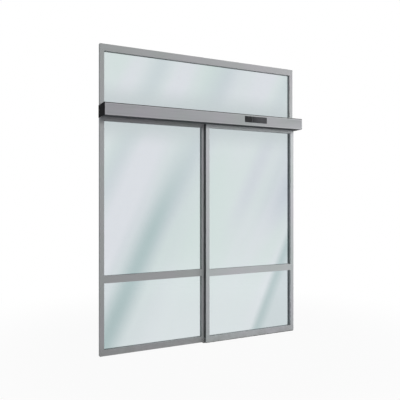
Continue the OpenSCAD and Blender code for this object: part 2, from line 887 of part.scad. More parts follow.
// A carriage: a plate in front of the rail, a ribbed foot on the leaf, and a keeper under the rail
// that stops the leaf lifting off
module carriage(x) {
    plate_top = z_axle + 20;
    keeper_half = 10;
    keeper_gap = 0.5;
    corner = 12;
    rib_t = 5;
    plate_x = grown([x, x], carriage_half);
    z_foot = [z_leaf_top, z_leaf_top + foot_t];
    color("gray") difference() {
        union() {
            slab([y_plate, y_leaf]) {
                rounded(plate_x, [z_leaf_top, plate_top], corner);
                rect(plate_x, [z_leaf_top, z_axle]);
            }
            block(plate_x, [y_plate, y_foot_back], z_foot);
            block(grown([x, x], keeper_half), [y_track - 4, y_foot_back], [z_leaf_top, z_ledge - keeper_gap]);
            for (s = [-1, 1]) for (inset = [0, carriage_half - keeper_half - 2 * rib_t])
                carriage_rib(x + s * (carriage_half - rib_t / 2 - inset), rib_t, z_foot[1]);
        }
        for (s = [-1, 1]) {
            rod(x + s * axle_half, [y_plate - 1, y_leaf + 1], z_axle, axle_r + fit);
            translate([x + s * hanging_bolt_half, y_track, z_leaf_top - 1])
                cylinder(r = bolt_r + fit, h = foot_t + 2);
        }
    }
}

// A three-cornered rib between a carriage's plate and its foot
module carriage_rib(x, t, z) {
    reach = 12;
    rise = z_ledge - z - 2;
    crossbar([x - t / 2, x + t / 2]) {
        rect([z - 1, z + rise], [y_leaf - 1, y_leaf]);
        polygon([[z - 1, y_leaf], [z + rise, y_leaf], [z, y_leaf + reach], [z - 1, y_leaf + reach]]);
    }
}

module left_carriage() {
    difference() {
        carriage(carriage_xs[0]);
        clamp_screws(clamp_screw_r + fit);
    }
}

module right_carriage() {
    carriage(carriage_xs[1]);
}

// The screws that hold the belt clamp on the left carriage, also used for their holes
module clamp_screws(r) {
    for (x = clamp_screw_xs) rod(x, [y_belt - clamp_jaw - 1, y_leaf], z_clamp_screw, r);
}

// Bolts that hang the leaf on its carriages, and the belt clamp's screws
module carriage_bolts() {
    length = 24;
    head_across = 7;
    head_h = 5;
    clamp_head_h = 2;
    y_clamp = y_belt - clamp_jaw;
    color("gray") {
        for (x = hanging_bolt_xs) translate([x, y_track, z_leaf_top + foot_t]) {
            cylinder(r = head_across, h = head_h, $fn = 6);
            translate([0, 0, -length]) cylinder(r = bolt_r, h = length + 1);
        }
        clamp_screws(clamp_screw_r);
        for (x = clamp_screw_xs) rod(x, [y_clamp - clamp_head_h, y_clamp], z_clamp_screw, 2 * clamp_screw_r);
    }
}

// A clamp that ties the belt's lower run to the left carriage
module belt_clamp() {
    x = carriage_xs[0];
    color("gray") difference() {
        block([x - clamp_half, x + clamp_half], [y_belt - clamp_jaw, y_plate], grown(z_belt_run, clamp_jaw));
        block([x - clamp_half - 1, x + clamp_half + 1], grown([y_belt, y_belt + belt_w], clear),
            grown(z_belt_run, clear));
        clamp_screws(clamp_screw_r + fit);
    }
}

// Axles with a nut in front of the plate, a spacer behind it and a collar behind the roller
module roller_axles() {
    roller_front = y_track - roller_w / 2;
    roller_back = y_track + roller_w / 2;
    nut_r = 6.5;
    nut_t = 4;
    thread_end = 2;
    collar_r = axle_r + 2;
    for (mid = carriage_xs) for (x = [mid - axle_half, mid + axle_half]) color("silver") {
        rod(x, [y_plate - nut_t - thread_end, roller_back + 2], z_axle, axle_r);
        translate([x, y_plate - nut_t, z_axle]) rotate([-90, 0, 0]) cylinder(r = nut_r, h = nut_t, $fn = 6);
        rod(x, [y_leaf, roller_front - clear], z_axle, collar_r);
        rod(x, [roller_back + clear, roller_back + 2], z_axle, collar_r);
    }
}

// A roller with a round groove that sits over the rail's head, and a sunk ring round its hub on both sides
module roller(x) {
    ring = [7, 11];
    ring_depth = 1.5;
    color([0.93, 0.93, 0.9]) translate([x, y_track, z_axle]) rotate([90, 0, 0]) difference() {
        cylinder(r = roller_flange_r, h = roller_w, center = true);
        cylinder(r = axle_r + fit, h = roller_w + 2, center = true);
        rotate_extrude() translate([roller_r + groove_r, 0]) circle(r = groove_r);
        for (side = [-1, 1]) translate([0, 0, side * roller_w / 2]) difference() {
            cylinder(r = ring[1], h = 2 * ring_depth, center = true);
            cylinder(r = ring[0], h = 3 * ring_depth, center = true);
        }
    }
}

module left_outer_roller() {
    roller(carriage_xs[0] - axle_half);
}

module left_inner_roller() {
    roller(carriage_xs[0] + axle_half);
}

module right_inner_roller() {
    roller(carriage_xs[1] - axle_half);
}

module right_outer_roller() {
    roller(carriage_xs[1] + axle_half);
}

// The cover: a face with a raised rim, a return under the operator, a stiffening rib and the sensor's window
module front_cover() {
    window_gap = 0.5;
    return_lip = 8;
    rib_rise = 20;
    rib_t = 2;
    rib_deep = 4;
    rib_z = z_op + rib_rise;
    color("silver") difference() {
        crossbar(cover_x) difference() {
            union() {
                rect([z_op, cover_top], [y_front, y_cover_back]);
                rect([z_op, z_op + cover_t], [y_front, y_return]);
                rect([z_op, z_op + return_lip], [y_return - cover_t, y_return]);
                rect([rib_z, rib_z + rib_t], [y_cover_back - 1, y_cover_back + rib_deep]);
            }
            translate([z_hinge, y_hinge]) circle(r = hinge_r);
        }
        block(grown(cover_x, -rim_w), [y_front - 1, y_front + rim_rise], [z_op + rim_w, cover_top - rim_w]);
        block(grown(window_x, window_gap), [y_front - 1, y_cover_back + 1], grown(window_z, window_gap));
    }
}

// The black hinge strip along the cover's top edge, which turns in the carrier's socket
module cover_hinge_strip() {
    color([0.08, 0.08, 0.09]) crossbar(cover_x) {
        translate([z_hinge, y_hinge]) circle(r = hinge_r);
        rect([cover_top, z_hinge], [y_front, y_front + cover_t]);
    }
}

// The sensor's body, with a flange that seats on the back of the cover round the window
module sensor_housing() {
    depth = 26;
    flange = 5;
    rim_t = 2;
    color([0.1, 0.1, 0.11]) {
        slab([y_cover_back, y_cover_back + rim_t])
            rounded(grown(window_x, flange), grown(window_z, flange), flange);
        slab([y_cover_back, y_cover_back + depth])
            rounded(grown(window_x, -flange), grown(window_z, -flange), flange);
    }
}

// The sensor's window, with rounded corners, which stands a little proud of the sunk face
module sensor_lens() {
    corner = 3;
    proud = 0.8;
    y = [y_front + rim_rise - proud, y_cover_back];
    color([0.05, 0.05, 0.06]) slab(y) rounded(window_x, window_z, corner);
}

module fanlight_glass() {
    glass(FANLIGHT, y_frame);
}

module side_upper_glass() {
    glass(SIDE_HIGH, y_frame);
}

module side_lower_glass() {
    glass(SIDE_LOW, y_frame);
}

module leaf_upper_glass() {
    glass(LEAF_HIGH, y_leaf);
}

module leaf_lower_glass() {
    glass(LEAF_LOW, y_leaf);
}

left_jamb();
right_jamb();
mullion();
head_rail();
transom();
fanlight_bottom_rail();
side_top_rail();
side_middle_rail();
side_bottom_rail();
right_jamb_closer();
frame_glazing_beads();
frame_gaskets();
fanlight_glass();
side_upper_glass();
side_lower_glass();
frame_setting_blocks();
jamb_end_plugs();
floor_guide();
floor_guide_screws();
operator_carrier();
carrier_bolts();
left_end_cap();
right_end_cap();
end_cap_screws();
control_unit();
power_supply();
battery_pack();
drive_motor();
gearbox();
drive_pulley();
drive_belt();
idler_pulley();
idler_bracket();
end_stops();
leaf_left_stile();
leaf_right_stile();
leaf_bottom_rail();
leaf_middle_rail();
leaf_top_rail();
leaf_upper_glass();
leaf_lower_glass();
leaf_glazing_beads();
leaf_gaskets();
leaf_setting_blocks();
leaf_side_seals();
leaf_bottom_brush();
left_carriage();
right_carriage();
carriage_bolts();
belt_clamp();
roller_axles();
left_outer_roller();
left_inner_roller();
right_inner_roller();
right_outer_roller();
front_cover();
cover_hinge_strip();
sensor_housing();
sensor_lens();
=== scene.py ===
import json
import math

import bpy
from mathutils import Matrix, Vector


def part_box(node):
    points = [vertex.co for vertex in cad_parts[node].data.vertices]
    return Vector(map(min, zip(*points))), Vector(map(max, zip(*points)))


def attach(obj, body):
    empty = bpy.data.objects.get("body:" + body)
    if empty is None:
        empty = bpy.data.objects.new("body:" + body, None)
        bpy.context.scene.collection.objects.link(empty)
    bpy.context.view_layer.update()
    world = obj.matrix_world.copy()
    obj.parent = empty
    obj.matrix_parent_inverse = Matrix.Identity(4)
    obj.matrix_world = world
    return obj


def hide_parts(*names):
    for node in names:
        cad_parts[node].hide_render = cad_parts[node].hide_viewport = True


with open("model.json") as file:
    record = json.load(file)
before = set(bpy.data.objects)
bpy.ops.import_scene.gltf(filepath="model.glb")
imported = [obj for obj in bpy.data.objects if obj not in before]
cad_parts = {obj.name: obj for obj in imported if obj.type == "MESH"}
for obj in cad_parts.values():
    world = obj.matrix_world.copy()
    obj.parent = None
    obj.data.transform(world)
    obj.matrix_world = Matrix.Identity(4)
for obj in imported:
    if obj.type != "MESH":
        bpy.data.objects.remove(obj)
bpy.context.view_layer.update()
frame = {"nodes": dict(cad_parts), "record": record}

NODES = frame["nodes"]
BODIES = frame["record"]["behaviour"]["bodies"]
SCENE = bpy.context.scene
BODY_OF = {node: body for body, members in BODIES.items() for node in members}
SLOT_OF = {part["node"]: part["material_slot"] for part in frame["record"]["subparts"]}
ROLLERS = [node for node, slot in SLOT_OF.items() if slot == "roller_nylon"]

# Camera, solved from the edges of the frame in the photograph
CAMERA_PLACE = (-2.207, -4.251, 1.385)
CAMERA_TURN = -26.5
CAMERA_LENS = 45
CAMERA_SENSOR = 36
CAMERA_SHIFT = -0.003

# Studio
ROOM_LIGHT = (0.93, 0.96, 1.0)
ROOM_STRENGTH = 0.11
FLOOR_GREY = (0.22, 0.22, 0.22)
FLOOR_HALF = 30.0
DOOR_MIDDLE = (0, 0, 1.4)

# Each fade is a span of distances or heights, and the share at its two ends
FLOOR_WHITE_FADE = ((1.2, 3.4), (0.95, 1))
LOW_REFLECTION_STREAKS_FADE = ((1.0, 2.0), (1, 0.3))
HIGH_REFLECTION_STREAKS_FADE = ((0.9, 1.5), (0, 1))
# Painted light: the glass is lightened towards the floor, against the floor's shadow seen through it
FLOOR_LIGHT_FADE = ((0.2, 1.0), (0.7, 0))
# Painted shade on the glass near the operator, for the operator's dark underside reflected in it
OPERATOR_SHADE_FADE = ((0.06, 0.32), (0.95, 0))

# Colours of the glass; the streak and haze colours are painted reflection
GLASS_LAVENDER = (0.695, 0.725, 0.768)
GLASS_GREEN = (0.640, 0.730, 0.716)
GLASS_REFLECTION_STREAK = (0.42, 0.53, 0.538)
GLASS_REFLECTION_HAZE = (0.47, 0.53, 0.595)
# Colour of the painted shade near the operator
GLASS_PAINTED_SHADE = (0.54, 0.60, 0.615)
# Colour of the painted light near the floor
GLASS_PAINTED_LIGHT = (0.745, 0.80, 0.82)
GLASS_SHADOW = (0.8, 0.86, 0.87)

# Soft streaks of painted reflection in the glass: how far they lean, and how deep they are at places across
# them
REFLECTION_STREAK_SLANT = 0.46
LOW_REFLECTION_STREAKS = [(-1.34, 0.0), (-1.24, 0.2), (-1.04, 1.0), (-0.82, 0.15), (-0.5, 0.0),
               (0.44, 0.0), (0.54, 0.8), (0.66, 0.35), (1.1, 0.35)]
HIGH_REFLECTION_STREAKS = [(-1.86, 0.0), (-1.66, 0.35), (-1.48, 0.0), (-1.08, 0.0), (-0.93, 0.3), (-0.72, 0.0),
                (-0.36, 0.0), (-0.19, 0.3), (-0.05, 0.12), (0.1, 0.3), (0.28, 0.62), (0.45, 0.4), (0.7, 0.3)]

# How tightly the tint of the glass drifts across the streaks and up the glass
TINT_SCALES = (1.9, 0.5)

# Middle of the operator's height
OPERATOR_MIDDLE = sum(corner.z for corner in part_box("left_end_cap")) / 2

# Copies of the CAD pieces: how near points merge, how flat faces join, and how sharp an edge is rounded
MERGE_GAP = 0.00001
FLAT_ANGLE = math.radians(0.5)
SHARP_ANGLE = math.radians(35)

# How far sharp edges are rounded over, and the pieces where it is more or less
EDGE_ROUND = 0.0005
EDGE_ROUNDS = {"left_end_cap": 0.001, "right_end_cap": 0.001, "control_unit": 0.001, "power_supply": 0.001,
               "battery_pack": 0.001, "gearbox": 0.0012, "sensor_housing": 0.0008, "carriage_bolts": 0.0003,
               "floor_guide_screws": 0.0003, "end_cap_screws": 0.0002, "drive_belt": 0.0003,
               "sensor_lens": 0.0004, **dict.fromkeys(ROLLERS, 0.0003)}

# Width across corners and depth of the sockets in screw heads that look forward
SOCKETS = {"gearbox": (0.0044, 0.0018),
           "floor_guide_screws": (0.004, 0.0012),
           "carriage_bolts": (0.0034, 0.0012)}

# Pieces that have a function of their own
MODELLED = {"end_cap_screws", "drive_belt", "leaf_bottom_brush", "sensor_lens", "front_cover",
            "leaf_left_stile", *ROLLERS, *SOCKETS}

# How squarely a face has to look along an axis, where 1 is dead square
FACING = 0.9
DEAD_FLAT = 0.99

# Turns that lay a cylinder along an axis
ALONG_X = (0, math.radians(90), 0)
ALONG_Y = (math.radians(90), 0, 0)


# Small helpers for node trees

def add_node(tree, kind, **values):
    """A node with its settings and the plain values of its inputs."""
    node = tree.nodes.new(kind)
    for name, value in values.items():
        if hasattr(node, name):
            setattr(node, name, value)
        else:
            node.inputs[name.replace("_", " ").title()].default_value = value
    return node


def new_group(name, inputs, output):
    """A shader node group with its input sockets and one output socket."""
    group = bpy.data.node_groups.new(name, "ShaderNodeTree")
    for label, kind, value in inputs:
        socket = group.interface.new_socket(label, in_out="INPUT", socket_type=kind)
        socket.default_value = value
    group.interface.new_socket(output, in_out="OUTPUT", socket_type="NodeSocketFloat")
    return group, group.nodes.new("NodeGroupInput"), group.nodes.new("NodeGroupOutput")


def use_group(tree, group, **values):
    """A group placed in a material with its own values."""
    node = tree.nodes.new("ShaderNodeGroup")
    node.node_tree = group
    for name, value in values.items():
        node.inputs[name].default_value = value
    return node


def remap(tree, source, span, result):
    """A smooth map of a value from one span to another."""
    node = add_node(tree, "ShaderNodeMapRange", interpolation_type="SMOOTHSTEP")
    for label, value in zip(("From Min", "From Max", "To Min", "To Max"), (*span, *result)):
        node.inputs[label].default_value = value
    tree.links.new(source, node.inputs["Value"])
    return node.outputs["Result"]


def calculate(tree, operation, first, second=0):
    """One step of arithmetic on two values, each a socket or a number."""
    node = add_node(tree, "ShaderNodeMath", operation=operation)
    for index, value in enumerate((first, second)):
        if isinstance(value, (int, float)):
            node.inputs[index].default_value = value
        else:
            tree.links.new(value, node.inputs[index])
    return node.outputs["Value"]


def blend_colours(tree, mask, first, second):
    """Two colours, each a plain colour or a socket, mixed by a mask."""
    node = add_node(tree, "ShaderNodeMix", data_type="RGBA")
    tree.links.new(mask, node.inputs["Factor"])
    for label, colour in (("A", first), ("B", second)):
        socket = [s for s in node.inputs if s.name == label and s.type == "RGBA"][0]
        if isinstance(colour, tuple):
            socket.default_value = (*colour, 1)
        else:
            tree.links.new(colour, socket)
    return [s for s in node.outputs if s.type == "RGBA"][0]


def tinted(colour, red, green, blue):
    """A colour with each of its parts scaled."""
    return (colour[0] * red, colour[1] * green, colour[2] * blue)


def lighter(colour, times, plus=0.0):
    """A colour made lighter, up to white."""
    return tuple(min(1.0, part * times + plus) for part in colour)


# Effects that the materials share

def grain_group():
    """Fine drawn lines along a piece, as extruding and brushing leave them."""
    group, start, end = new_group("drawn_grain", [("Stretch", "NodeSocketVector", (1, 1, 1))], "Grain")
    place = add_node(group, "ShaderNodeTexCoord")
    stretch = add_node(group, "ShaderNodeVectorMath", operation="MULTIPLY")
    noise = add_node(group, "ShaderNodeTexNoise", scale=1.0, detail=3.0, roughness=0.6)
    group.links.new(place.outputs["Object"], stretch.inputs[0])
    group.links.new(start.outputs["Stretch"], stretch.inputs[1])
    group.links.new(stretch.outputs["Vector"], noise.inputs["Vector"])
    group.links.new(noise.outputs["Fac"], end.inputs["Grain"])
    return group


def mottle_group():
    """Cloudy patches, for slow changes of tone and gloss."""
    group, start, end = new_group("cloudy_patches", [("Size", "NodeSocketFloat", 6.0)], "Patches")
    place = add_node(group, "ShaderNodeTexCoord")
    noise = add_node(group, "ShaderNodeTexNoise", detail=4.0, roughness=0.55)
    group.links.new(place.outputs["Object"], noise.inputs["Vector"])
    group.links.new(start.outputs["Size"], noise.inputs["Scale"])
    group.links.new(remap(group, noise.outputs["Fac"], (0.3, 0.7), (0, 1)), end.inputs["Patches"])
    return group


def edge_group():
    """A mask of the outer edges, broken up as handling wears them."""
    group, start, end = new_group("worn_edges", [("Width", "NodeSocketFloat", 0.001)], "Edges")
    place = add_node(group, "ShaderNodeTexCoord")
    surface = add_node(group, "ShaderNodeNewGeometry")
    rounded = add_node(group, "ShaderNodeBevel", samples=6)
    likeness = add_node(group, "ShaderNodeVectorMath", operation="DOT_PRODUCT")
    noise = add_node(group, "ShaderNodeTexNoise", scale=60.0, detail=3.0)
    group.links.new(start.outputs["Width"], rounded.inputs["Radius"])
    group.links.new(surface.outputs["Normal"], likeness.inputs[0])
    group.links.new(rounded.outputs["Normal"], likeness.inputs[1])
    group.links.new(place.outputs["Object"], noise.inputs["Vector"])
    near_edge = remap(group, likeness.outputs["Value"], (0.7, 0.99), (1, 0))
    broken = remap(group, noise.outputs["Fac"], (0.35, 0.6), (0.25, 1))
    group.links.new(calculate(group, "MULTIPLY", near_edge, broken), end.inputs["Edges"])
    return group


def dust_and_shade_group():
    """Dust that lies on faces that look up, and scuffs near the floor, in a dark colour that also paints
    shade on the faces that look up.
    """
    group, start, end = new_group("settled_dust_and_shade", [("Amount", "NodeSocketFloat", 0.3)], "Dust and shade")
    place = add_node(group, "ShaderNodeTexCoord")
    surface = add_node(group, "ShaderNodeNewGeometry")
    normal = add_node(group, "ShaderNodeSeparateXYZ")
    height = add_node(group, "ShaderNodeSeparateXYZ")
    cloud = add_node(group, "ShaderNodeTexNoise", scale=14.0, detail=5.0, roughness=0.7)
    group.links.new(surface.outputs["Normal"], normal.inputs["Vector"])
    group.links.new(place.outputs["Object"], height.inputs["Vector"])
    group.links.new(place.outputs["Object"], cloud.inputs["Vector"])
    facing_up = remap(group, normal.outputs["Z"], (0.4, 0.95), (0, 1))
    near_floor = remap(group, height.outputs["Z"], (0, 0.12), (0.6, 0))
    cloudy = remap(group, cloud.outputs["Fac"], (0.35, 0.7), (0.2, 1))
    patchy = calculate(group, "MULTIPLY", calculate(group, "MAXIMUM", facing_up, near_floor), cloudy)
    amount = calculate(group, "MULTIPLY", patchy, start.outputs["Amount"])
    group.links.new(amount, end.inputs["Dust and shade"])
    return group


GRAIN = grain_group()
MOTTLE = mottle_group()
EDGES = edge_group()
DUST_AND_SHADE = dust_and_shade_group()
# A dark dust colour, which also paints shade on the ledges that look up
DUST_AND_SHADE_COLOUR = (0.17, 0.165, 0.15)


# Materials

def shaded_material(name):
    """An empty material with one Principled shader."""
    material = bpy.data.materials.new(name)
    material.use_nodes = True
    tree = material.node_tree
    tree.nodes.clear()
    shader = add_node(tree, "ShaderNodeBsdfPrincipled")
    output = add_node(tree, "ShaderNodeOutputMaterial")
    tree.links.new(shader.outputs["BSDF"], output.inputs["Surface"])
    return material, tree, shader


def finished_colour(tree, shader, colour, light, edge, patch_size, edge_width, dust_and_shade):
    """A base colour with lighter cloudy patches, worn edges, and dust that doubles as painted shade on faces
    that look up.
    """
    patches = use_group(tree, MOTTLE, Size=patch_size)
    edges = use_group(tree, EDGES, Width=edge_width)
    settled_and_shaded = use_group(tree, DUST_AND_SHADE, Amount=dust_and_shade)
    patched = blend_colours(tree, patches.outputs["Patches"], colour, light)
    worn = blend_colours(tree, edges.outputs["Edges"], patched, edge)
    dusty_and_shaded = blend_colours(tree, settled_and_shaded.outputs["Dust and shade"], worn, DUST_AND_SHADE_COLOUR)
    tree.links.new(dusty_and_shaded, shader.inputs["Base Color"])


def grained_surface(tree, shader, stretch, depth, rough):
    """Roughness between two values and bump, both along the grain."""
    grain = use_group(tree, GRAIN, Stretch=stretch)
    bump = add_node(tree, "ShaderNodeBump", strength=0.5, distance=depth)
    tree.links.new(grain.outputs["Grain"], bump.inputs["Height"])
    tree.links.new(bump.outputs["Normal"], shader.inputs["Normal"])
    tree.links.new(remap(tree, grain.outputs["Grain"], (0.3, 0.7), rough), shader.inputs["Roughness"])


def aluminium(name, colour, along, metallic=0.15, gloss=0.12):
    """Satin anodised aluminium, a little greener or bluer from place to place, with grain along X or Z."""
    material, tree, shader = shaded_material(name)
    edge = lighter(colour, 1.45)
    stretch = (3, 700, 700) if along == "x" else (700, 700, 3)
    grain = use_group(tree, GRAIN, Stretch=stretch).outputs["Grain"]
    green = blend_colours(tree, grain, tinted(colour, 0.86, 0.90, 0.88), tinted(colour, 1.05, 1.10, 1.08))
    blue = blend_colours(tree, grain, tinted(colour, 0.93, 0.90, 0.94), tinted(colour, 1.13, 1.10, 1.15))
    finished_colour(tree, shader, green, blue, edge, patch_size=2.0, edge_width=0.0012, dust_and_shade=0.5)
    grained_surface(tree, shader, stretch, depth=0.00008, rough=(0.36, 0.50))
    shader.inputs["Metallic"].default_value = metallic
    shader.inputs["Specular IOR Level"].default_value = gloss
    return material


def painted(name, colour, rough, pebble, depth, coat=0.0, gloss=0.3):
    """Moulded plastic, rubber or paint with a fine pebbled surface."""
    material, tree, shader = shaded_material(name)
    light = lighter(colour, 1.25, 0.004)
    edge = lighter(colour, 1.6, 0.03)
    finished_colour(tree, shader, colour, light, edge, patch_size=9.0, edge_width=0.0008, dust_and_shade=0.22)
    grained_surface(tree, shader, (pebble, pebble, pebble), depth, rough=(rough - 0.06, rough + 0.08))
    shader.inputs["Coat Weight"].default_value = coat
    shader.inputs["Specular IOR Level"].default_value = gloss
    return material


def bare_metal(name, colour, rough, stretch, depth):
    """Plated or machined metal."""
    material, tree, shader = shaded_material(name)
    light = lighter(colour, 1.1)
    edge = lighter(colour, 1.4, 0.05)
    finished_colour(tree, shader, colour, light, edge, patch_size=20.0, edge_width=0.0006, dust_and_shade=0.12)
    grained_surface(tree, shader, stretch, depth, rough=(rough - 0.07, rough + 0.07))
    shader.inputs["Metallic"].default_value = 0.9
    return material


def reflection_streak_ramp(tree, across, reflection_streaks):
    """Soft streaks of painted reflection, as one ramp over the distance across them."""
    low, high = reflection_streaks[0][0], reflection_streaks[-1][0]
    scaled = add_node(tree, "ShaderNodeMapRange")
    scaled.inputs["From Min"].default_value = low
    scaled.inputs["From Max"].default_value = high
    tree.links.new(across, scaled.inputs["Value"])
    node = add_node(tree, "ShaderNodeValToRGB")
    ramp = node.color_ramp
    ramp.interpolation = "EASE"
    places = [(place - low) / (high - low) for place, depth in reflection_streaks]
    depths = [depth for place, depth in reflection_streaks]
    for place in places[1:-1]:
        ramp.elements.new(place)
    for stop, depth in zip(ramp.elements, depths):
        stop.color = (depth, depth, depth, 1)
    tree.links.new(scaled.outputs["Result"], node.inputs["Fac"])
    return node.outputs["Color"]


def drifting_tint(tree, across, height):
    """Glass that drifts between green and lavender along the streaks."""
    across_scale, up_scale = TINT_SCALES
    slanted = add_node(tree, "ShaderNodeCombineXYZ")
    tree.links.new(calculate(tree, "MULTIPLY", across, across_scale), slanted.inputs["X"])
    tree.links.new(calculate(tree, "MULTIPLY", height, up_scale), slanted.inputs["Z"])
    bands = add_node(tree, "ShaderNodeTexNoise", scale=1.0, detail=1.5)
    tree.links.new(slanted.outputs["Vector"], bands.inputs["Vector"])
    tint = remap(tree, bands.outputs["Fac"], (0.35, 0.65), (0, 1))
    return blend_colours(tree, tint, GLASS_GREEN, GLASS_LAVENDER)


def glass_colour(tree):
    """Two faint tints, slanted streaks of painted reflection, painted light near the floor and painted shade
    near the operator.
    """
    place = add_node(tree, "ShaderNodeTexCoord")
    axes = add_node(tree, "ShaderNodeSeparateXYZ")
    tree.links.new(place.outputs["Object"], axes.inputs["Vector"])
    height = axes.outputs["Z"]
    across = calculate(tree, "SUBTRACT", axes.outputs["X"], calculate(tree, "MULTIPLY", height, REFLECTION_STREAK_SLANT))
    low_share = remap(tree, height, *LOW_REFLECTION_STREAKS_FADE)
    high_share = remap(tree, height, *HIGH_REFLECTION_STREAKS_FADE)
    low_reflections = calculate(tree, "MULTIPLY", reflection_streak_ramp(tree, across, LOW_REFLECTION_STREAKS), low_share)
    high_reflections = calculate(tree, "MULTIPLY", reflection_streak_ramp(tree, across, HIGH_REFLECTION_STREAKS), high_share)
    reflection_hazed = blend_colours(tree, high_reflections, drifting_tint(tree, across, height), GLASS_REFLECTION_HAZE)
    reflection_streaked = blend_colours(tree, low_reflections, reflection_hazed, GLASS_REFLECTION_STREAK)
    # Painted light: lighter glass near the floor, still carrying the low reflection streaks
    floor_light = blend_colours(tree, low_reflections, GLASS_PAINTED_LIGHT, GLASS_REFLECTION_STREAK)
    floor_lightened = blend_colours(tree, remap(tree, height, *FLOOR_LIGHT_FADE), reflection_streaked, floor_light)
    # Painted shade: the glass darkens towards the operator's height
    from_operator = calculate(tree, "ABSOLUTE", calculate(tree, "SUBTRACT", height, OPERATOR_MIDDLE))
    return blend_colours(tree, remap(tree, from_operator, *OPERATOR_SHADE_FADE), floor_lightened, GLASS_PAINTED_SHADE)


def door_glass(name):
    """Laminated glass, which lets the light of the lamps straight through."""
    material, tree, shader = shaded_material(name)
    tree.links.new(glass_colour(tree), shader.inputs["Base Color"])
    shader.inputs["Roughness"].default_value = 0.02
    shader.inputs["IOR"].default_value = 1.45
    shader.inputs["Transmission Weight"].default_value = 1.0
    path = add_node(tree, "ShaderNodeLightPath")
    through = add_node(tree, "ShaderNodeBsdfTransparent")
    through.inputs["Color"].default_value = (*GLASS_SHADOW, 1)
    chosen = add_node(tree, "ShaderNodeMixShader")
    output = [n for n in tree.nodes if n.type == "OUTPUT_MATERIAL"][0]
    tree.links.new(path.outputs["Is Shadow Ray"], chosen.inputs[0])
    tree.links.new(shader.outputs["BSDF"], chosen.inputs[1])
    tree.links.new(through.outputs["BSDF"], chosen.inputs[2])
    tree.links.new(chosen.outputs["Shader"], output.inputs["Surface"])
    return material


def sensor_window(name):
    """Smoked glossy plastic."""
    material, tree, shader = shaded_material(name)
    finished_colour(tree, shader, colour=(0.052, 0.053, 0.058), light=(0.075, 0.076, 0.083),
                    edge=(0.12, 0.12, 0.13), patch_size=12.0, edge_width=0.0008, dust_and_shade=0.1)
    patches = use_group(tree, MOTTLE, Size=30.0)
    tree.links.new(remap(tree, patches.outputs["Patches"], (0, 1), (0.12, 0.24)), shader.inputs["Roughness"])
    shader.inputs["Specular IOR Level"].default_value = 0.15
    return material


# Finishes of single pieces or faces
# Painted highlight: the cover's raised rim is coloured lighter than its face
COVER_RIM_PAINTED_HIGHLIGHT = aluminium("cover_rim_painted_highlight", (0.36, 0.365, 0.377), "x", metallic=0.06, gloss=0.03)
# Painted shade: the cover's underside is the same aluminium, coloured darker and matt for the operator's own
# shade
COVER_UNDERSIDE_PAINTED_SHADE = aluminium("cover_underside_painted_shade", (0.205, 0.209, 0.217), "x", metallic=0, gloss=0)
# Painted shade: the leaf stile's outer side, dark for the gap next to the mullion
STILE_SIDE_PAINTED_SHADE = aluminium("stile_side_painted_shade", (0.14, 0.143, 0.148), "z", metallic=0.05, gloss=0.05)
SENSOR_MODULE = painted("sensor_module_black", (0.016, 0.0165, 0.018), rough=0.3, pebble=900,
                        depth=0.00002, gloss=0.1)
SENSOR_SEAM = painted("sensor_seam_grey", (0.10, 0.105, 0.11), rough=0.4, pebble=900,
                      depth=0.00002, gloss=0.2)
GUIDE_NYLON = painted("guide_nylon", (0.24, 0.243, 0.248), rough=0.48, pebble=600, depth=0.00004)

# Finishes of the frame's and the leaf's profiles, with the grain along each; the leaf's grey is lighter than
# the frame's as painted light, for the light that falls more on the leaf
FRAME_GREY = (0.36, 0.365, 0.372)
LEAF_GREY_PAINTED_LIGHT = (0.455, 0.47, 0.48)
FRAME_UPRIGHT = aluminium("frame_aluminium_upright", FRAME_GREY, "z")
FRAME_CROSSBAR = aluminium("frame_aluminium_crossbar", FRAME_GREY, "x")
LEAF_UPRIGHT = aluminium("leaf_aluminium_upright", LEAF_GREY_PAINTED_LIGHT, "z")
LEAF_CROSSBAR = aluminium("leaf_aluminium_crossbar", LEAF_GREY_PAINTED_LIGHT, "x")
UPRIGHTS = ("left_jamb", "right_jamb", "mullion", "right_jamb_closer", "leaf_left_stile", "leaf_right_stile")

